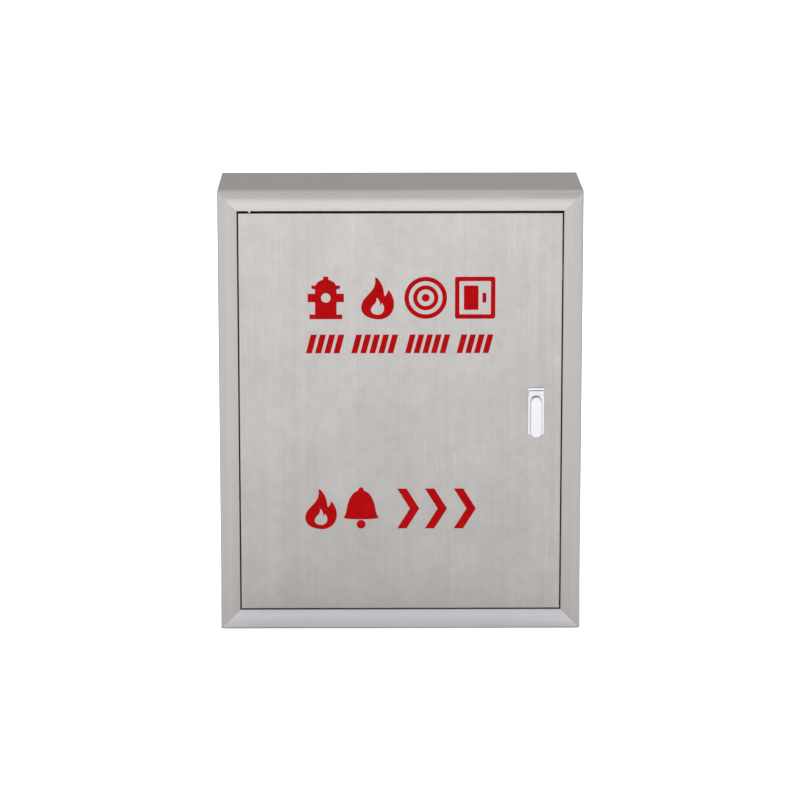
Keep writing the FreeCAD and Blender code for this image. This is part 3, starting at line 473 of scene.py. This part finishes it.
def bell(x, z, size):
    """A bell."""
    shape = [
        (-0.46, -0.30), (-0.36, -0.18), (-0.32, 0.10), (-0.20, 0.34), (-0.06, 0.40),
        (-0.05, 0.48), (0.05, 0.48), (0.06, 0.40), (0.20, 0.34), (0.32, 0.10),
        (0.36, -0.18), (0.46, -0.30),
    ]
    return smooth_loop([(x + px * size, z + pz * size) for px, pz in shape], 2)


def ring_marks(x, z, outer, inner):
    """Two circles that make a ring."""
    return [arc_points(x, z, outer, 0, 354, 59), arc_points(x, z, inner, 0, 354, 59)]


def chevron(x0, x1, low, high, stroke):
    """An arrow head that points right."""
    middle = (low + high) / 2
    return [(x0, high), (x0 + stroke, high), (x1, middle), (x0 + stroke, low),
            (x0, low), (x1 - stroke, middle)]


DASH_LEAN = 9.0
DASH_SHARE = 0.66


def hatching(x0, x1, low, high, count):
    """Slanted dashes that fill a band between x0 and x1."""
    pitch = (x1 - x0 - DASH_LEAN) / (count - 1 + DASH_SHARE)
    stroke = pitch * DASH_SHARE
    outlines = []
    for number in range(count):
        left = x0 + pitch * number
        outlines.append([(left, low), (left + stroke, low),
                         (left + stroke + DASH_LEAN, high), (left + DASH_LEAN, high)])
    return outlines


UPPER_ROW = 609.0
BAND_LOW = 508.5
BAND_HIGH = 542.5
BANDS = ((-169, -100, 4), (-88, -4, 5), (8, 89, 5), (100, 166, 4))
LOWER_ROW = 223.0
ARROW_STARTS = (-6, 44, 96)

printed("mark_hydrant", [
    hydrant(-133, UPPER_ROW, 77), arc_points(-133, UPPER_ROW, 8.5, 0, 350, 35)])
printed("mark_flame", [flame(-41, UPPER_ROW, 80), flame(-41, UPPER_ROW - 15, 32)])
printed("mark_reel", (
    ring_marks(45, UPPER_ROW, 38, 30) + ring_marks(45, UPPER_ROW, 22.5, 15)
    + [arc_points(45, UPPER_ROW, 7, 0, 350, 35)]
))
printed("mark_cabinet", [
    bar_points(97, 169, UPPER_ROW - 38, UPPER_ROW + 38, 4),
    bar_points(105, 161, UPPER_ROW - 30, UPPER_ROW + 30, 2),
    bar_points(113, 139, UPPER_ROW - 22, UPPER_ROW + 22, 2),
    bar_points(146, 153, UPPER_ROW - 9, UPPER_ROW + 9, 2),
])
for number, (start, stop, count) in enumerate(BANDS):
    printed(f"mark_band_{number + 1}", hatching(start, stop, BAND_LOW, BAND_HIGH, count))
printed("mark_fire", [flame(-143.5, LOWER_ROW, 78), flame(-143.5, LOWER_ROW - 15, 31)])
printed("mark_bell", [
    bell(-71, LOWER_ROW + 3, 76), arc_points(-71, LOWER_ROW - 29, 8, 0, 350, 30)])
printed("mark_arrows", [
    chevron(start, start + 40, LOWER_ROW - 37, LOWER_ROW + 37, 17)
    for start in ARROW_STARTS])


# ------------------------------------------------------------ welds and small parts

class Shell:
    """Points and faces in millimetres, gathered for one piece."""

    def __init__(self):
        self.points = []
        self.faces = []

    def add_rings(self, rings):
        """Closed skin over rings of equally many points, capped at both ends."""
        start = len(self.points)
        count = len(rings[0])
        for ring in rings:
            self.points += [tuple(point) for point in ring]
        for level in range(len(rings) - 1):
            low = start + level * count
            high = low + count
            for number in range(count):
                after = (number + 1) % count
                self.faces.append((low + number, low + after, high + after, high + number))
        self.faces.append(tuple(range(start + count - 1, start - 1, -1)))
        last = start + (len(rings) - 1) * count
        self.faces.append(tuple(range(last, last + count)))

    def add_loop(self, rings):
        """Closed skin over rings that go round to meet the first one again."""
        start = len(self.points)
        count = len(rings[0])
        for ring in rings:
            self.points += [tuple(point) for point in ring]
        for level in range(len(rings)):
            low = start + level * count
            high = start + (level + 1) % len(rings) * count
            for number in range(count):
                after = (number + 1) % count
                self.faces.append((low + number, low + after, high + after, high + number))

    def mesh(self, name):
        """The gathered shell as a mesh in metres."""
        made = bpy.data.meshes.new(name)
        made.from_pydata([[part * MM for part in point] for point in self.points],
                         [], self.faces)
        made.validate()
        return made


def ring_about(centre, first, second, radius, count=10):
    """A ring of points about a centre in the plane of two unit vectors."""
    points = []
    for number in range(count):
        angle = math.tau * number / count
        points.append(centre + first * (radius * math.cos(angle))
                      + second * (radius * math.sin(angle)))
    return points


BEAD_STEP = 0.45
MARK_PITCH = 1.7


def scale_mark(phase):
    """The rise and fall of a weld's surface between its scale marks."""
    return 0.86 + 0.14 * abs(math.sin(phase))


def weld_bead(shell, start, along, length, radius):
    """A short weld bead with the scale marks a torch leaves."""
    start = Vector(start)
    along = Vector(along)
    first = along.orthogonal().normalized()
    second = along.cross(first)
    steps = max(8, round(length / BEAD_STEP))
    rings = []
    for number in range(steps + 1):
        place = number / steps
        taper = min(1.0, 0.25 + 6 * place, 0.25 + 6 * (1 - place))
        mark = scale_mark(math.pi * place * length / MARK_PITCH)
        rings.append(ring_about(start + along * (length * place), first, second,
                                radius * taper * mark))
    shell.add_rings(rings)


SPOT_PROFILE = ((3.4, -0.2), (3.2, 0.04), (2.7, 0.20), (2.2, 0.08), (0.8, 0.03),
                (0.15, 0.02))


def spot_weld(shell, centre, outward):
    """The shallow crater of a spot weld: a raised lip round a dimple."""
    centre = Vector(centre)
    outward = Vector(outward)
    first = outward.orthogonal().normalized()
    second = outward.cross(first)
    shell.add_rings([
        ring_about(centre + outward * height, first, second, radius, 18)
        for radius, height in SPOT_PROFILE])


def grid(low, high, count):
    """Evenly spaced numbers from low to high."""
    return [low + (high - low) * number / (count - 1) for number in range(count)]


BACK_IN = 117.6
BACK_SEAM_Y = 118.9
BACK_SEAM_X = 309.6
BACK_SEAM_Z = (15.4, 784.6)
CORNER_SEAM_X = 323.4
CORNER_SEAM_Z = (1.6, 798.4)
BACK_BEAD = 24
CORNER_BEAD = 28

seams = Shell()
for side in (-1, 1):
    for z in grid(60, 715, 6):
        weld_bead(seams, (side * BACK_SEAM_X, BACK_SEAM_Y, z), (0, 0, 1), BACK_BEAD, 1.0)
    for z in BACK_SEAM_Z:
        for x in grid(60, 250, 3):
            weld_bead(seams, (side * x - BACK_BEAD / 2, BACK_SEAM_Y, z), (1, 0, 0),
                      BACK_BEAD, 1.0)
    for z in CORNER_SEAM_Z:
        for y in (-78, 6, 84):
            weld_bead(seams, (side * CORNER_SEAM_X, y, z), (0, 1, 0), CORNER_BEAD, 1.1)
finish_piece("panel_welds", seams.mesh("panel_welds"), "weld", "cabinet", smooth=True)

SPOT_ROW_X = 315
SPOT_ROW_Z = (9.5, 790.5)
spots = Shell()
for side in (-1, 1):
    for z in grid(48, 752, 10):
        spot_weld(spots, (side * SPOT_ROW_X, BACK_IN, z), (0, -1, 0))
    for z in SPOT_ROW_Z:
        for x in grid(40, 280, 4):
            spot_weld(spots, (side * x, BACK_IN, z), (0, -1, 0))
finish_piece("back_spot_welds", spots.mesh("back_spot_welds"), "weld", "cabinet",
             smooth=True)

FLANGE_Y = DOOR_LOW[1] / MM + 2.2
STIFFENER_X = 130
FLANGE_OFFSET = 31
spots = Shell()
for side in (-1, 1):
    for offset in (-FLANGE_OFFSET, FLANGE_OFFSET):
        for z in grid(72, 728, 9):
            spot_weld(spots, (side * STIFFENER_X + offset, FLANGE_Y, z), (0, 1, 0))
finish_piece("door_spot_welds", spots.mesh("door_spot_welds"), "weld", "door",
             smooth=True)

REEL = Vector((-40, 0, 545))
DRUM_RADIUS = 55
DRUM_SEAMS = (-55.4, 51.4)
SEAM_MARKS = 90
DISC_FRONT = -62.5
DISC_REAR = 58.5
RIB_COUNT = 10
RIB_START = 90
RIB_LENGTH = 50


def drum_seam(shell, y):
    """The weld that runs round the drum where it meets a disc."""
    rings = []
    count = 180
    for number in range(count):
        angle = math.tau * number / count
        away = Vector((math.cos(angle), 0, math.sin(angle)))
        mark = scale_mark(angle * SEAM_MARKS / 2)
        rings.append(ring_about(REEL + away * DRUM_RADIUS + Vector((0, y, 0)), away,
                                Vector((0, 1, 0)), 2.2 * mark, 8))
    shell.add_loop(rings)


seams = Shell()
for y in DRUM_SEAMS:
    drum_seam(seams, y)
finish_piece("drum_welds", seams.mesh("drum_welds"), "red", "reel", smooth=True)


def pressed_rib(shell, angle, y, outward):
    """A radial stiffening rib pressed into the raised band of a reel disc."""
    away = Vector((math.cos(angle), 0, math.sin(angle)))
    across = Vector((-math.sin(angle), 0, math.cos(angle))) * outward
    out = Vector((0, outward, 0))
    steps = 24
    rings = []
    for number in range(steps + 1):
        place = number / steps
        swell = math.sqrt(max(0.0, 1 - (2 * place - 1) ** 6))
        width = 0.4 + 6.6 * swell
        rise = 0.05 + 2.0 * swell
        middle = REEL + away * (RIB_START + RIB_LENGTH * place) + Vector((0, y, 0))
        ring = []
        for corner in range(12):
            turn = math.tau * corner / 12
            lift = math.cos(turn)
            ring.append(middle + across * (width * math.sin(turn))
                        + out * (rise * lift if lift > 0 else 0.3 * lift))
        rings.append(ring)
    shell.add_rings(rings)


for name, y, outward in (("ribs_front", DISC_FRONT, -1), ("ribs_rear", DISC_REAR, 1)):
    ribs = Shell()
    for number in range(RIB_COUNT):
        pressed_rib(ribs, math.tau * number / RIB_COUNT + 0.2, y, outward)
    finish_piece(name, ribs.mesh(name), "red", "reel", smooth=True)


def threaded(shell, x, y, low, high, crest, root, pitch, count=36):
    """A right-hand threaded bar up z, with a chamfer at its top."""
    rings = []
    steps = round((high - low) / pitch * 10)
    for number in range(steps + 1):
        z = low + (high - low) * number / steps
        ring = []
        for corner in range(count):
            angle = math.tau * corner / count
            phase = (z / pitch - corner / count) % 1.0
            flank = min(1.0, max(0.0, 2.4 * abs(2 * phase - 1) - 0.7))
            radius = root + (crest - root) * flank
            radius = min(radius, crest - 1.2 + (high - z) * 1.0)
            ring.append((x + radius * math.cos(angle), y + radius * math.sin(angle), z))
        rings.append(ring)
    shell.add_rings(rings)


STEM_X = 150
STEM_RISE = 0.9     # mm that the stem rises for each radian it turns
STEM_PITCH = STEM_RISE * math.tau
NUT_PITCH = 1.25
stem = Shell()
threaded(stem, STEM_X, 0, 146, 312, 7.98, 6.9, STEM_PITCH)
threaded(stem, STEM_X, 0, 311, 333, 4.98, 4.4, NUT_PITCH)
stem_piece = finish_piece("threaded_stem", stem.mesh("threaded_stem"), "brass",
                          "valve_wheel", smooth=True)
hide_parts("valve_stem")


def coil_spring(shell, centre, radius, wire, length, turns):
    """A compression spring along y."""
    steps = turns * 24
    rings = []
    for number in range(steps + 1):
        place = number / steps
        angle = math.tau * turns * place
        away = Vector((math.cos(angle), 0, math.sin(angle)))
        middle = Vector(centre) + away * radius
        middle.y += wire + (length - 2 * wire) * place
        rings.append(ring_about(middle, away, Vector((0, 1, 0)), wire, 8))
    shell.add_rings(rings)


SPRING_LOW, SPRING_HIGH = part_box("button_spring")
SPRING_RADIUS = 4.05
SPRING_WIRE = 0.42
SPRING_TURNS = 3
spring = Shell()
coil_spring(spring, ((SPRING_LOW[0] + SPRING_HIGH[0]) / 2 / MM, SPRING_LOW[1] / MM,
                     (SPRING_LOW[2] + SPRING_HIGH[2]) / 2 / MM),
            SPRING_RADIUS, SPRING_WIRE, (SPRING_HIGH[1] - SPRING_LOW[1]) / MM,
            SPRING_TURNS)
spring_piece = finish_piece("coil_spring", spring.mesh("coil_spring"), "pin", "button",
                            smooth=True)
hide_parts("button_spring")


# ------------------------------------------------------------ stage and light

def panel(name, size, place, turn, power):
    """A soft area light."""
    data = bpy.data.lights.new(name, "AREA")
    data.shape = "RECTANGLE"
    data.size, data.size_y = size
    data.energy = power
    lamp = bpy.data.objects.new(name, data)
    lamp.location = place
    lamp.rotation_euler = [math.radians(angle) for angle in turn]
    lamp.visible_camera = False
    SCENE.collection.objects.link(lamp)


def make_sun(strength, angle):
    """One even overhead softbox, so wide that its shadows are faint."""
    data = bpy.data.lights.new("ceiling", "SUN")
    data.energy = strength
    data.angle = math.radians(angle)
    lamp = bpy.data.objects.new("ceiling", data)
    lamp.visible_glossy = False
    SCENE.collection.objects.link(lamp)


FLOOR_REACH = 30.0
FLOOR_DROP = 0.0005


def make_floor():
    """A plain pale floor."""
    mesh = bpy.data.meshes.new("floor")
    reach = FLOOR_REACH
    low = CAD_BOX[0][2] - FLOOR_DROP
    mesh.from_pydata(
        [(-reach, -reach, low), (reach, -reach, low), (reach, reach, low),
         (-reach, reach, low)], [], [(0, 1, 2, 3)])
    floor = bpy.data.objects.new("floor", mesh)
    SCENE.collection.objects.link(floor)
    graph = Graph("floor_paint")
    cloud = graph.noise((1.5, 1.5, 1.5), 2.0, 0.5)
    graph.colour(graph.tint(graph.spread(cloud, 0.3, 0.7), (0.93, 0.93, 0.93),
                            (0.95, 0.95, 0.95)))
    graph.shader.inputs["Roughness"].default_value = 0.9
    graph.shader.inputs["Specular IOR Level"].default_value = 0.0
    mesh.materials.append(graph.material)


HORIZON = (0.45, 0.437, 0.427, 1)
HALF_WAY = (0.775, 0.76, 0.75, 1)
OVERHEAD = (1.36, 1.36, 1.38, 1)


def make_world():
    """Soft surroundings: bright overhead, greyer near the horizon."""
    world = bpy.data.worlds.new("studio")
    SCENE.world = world
    world.use_nodes = True
    tree = world.node_tree
    tree.nodes.clear()
    coordinates = tree.nodes.new("ShaderNodeTexCoord")
    split = tree.nodes.new("ShaderNodeSeparateXYZ")
    ramp = tree.nodes.new("ShaderNodeValToRGB")
    background = tree.nodes.new("ShaderNodeBackground")
    output = tree.nodes.new("ShaderNodeOutputWorld")
    tree.links.new(coordinates.outputs["Generated"], split.inputs[0])
    tree.links.new(split.outputs["Z"], ramp.inputs[0])
    tree.links.new(ramp.outputs[0], background.inputs[0])
    tree.links.new(background.outputs[0], output.inputs[0])
    stops = ramp.color_ramp.elements
    stops[0].position = 0.0
    stops[0].color = HORIZON
    stops[1].position = 1.0
    stops[1].color = OVERHEAD
    middle = stops.new(0.35)
    middle.color = HALF_WAY
    background.inputs[1].default_value = 1.0


make_floor()
make_world()
make_sun(2.35, 110)
panel("front_fill", (7.0, 1.0), (-0.3, -3.4, 0.55), (90, 0, 0), 28)

SCENE.view_settings.view_transform = "Standard"
SCENE.view_settings.look = "None"

CAMERA_AZIMUTH = -0.5
CAMERA_ELEVATION = 11.95
CAMERA_DISTANCE = 6.372
CAMERA_LENS = 157.0
SENSOR_WIDTH = 36.0
CAMERA_TARGET = Vector((0.0002, 0.0, 0.3979))
azimuth = math.radians(CAMERA_AZIMUTH)
elevation = math.radians(CAMERA_ELEVATION)
away = Vector((math.sin(azimuth) * math.cos(elevation),
               -math.cos(azimuth) * math.cos(elevation), math.sin(elevation)))
camera = bpy.data.objects.new("camera", bpy.data.cameras.new("camera"))
camera.data.lens = CAMERA_LENS
camera.data.sensor_width = SENSOR_WIDTH
camera.location = CAMERA_TARGET + away * CAMERA_DISTANCE
camera.rotation_euler = (-away).to_track_quat("-Z", "Y").to_euler()
SCENE.collection.objects.link(camera)
SCENE.camera = camera
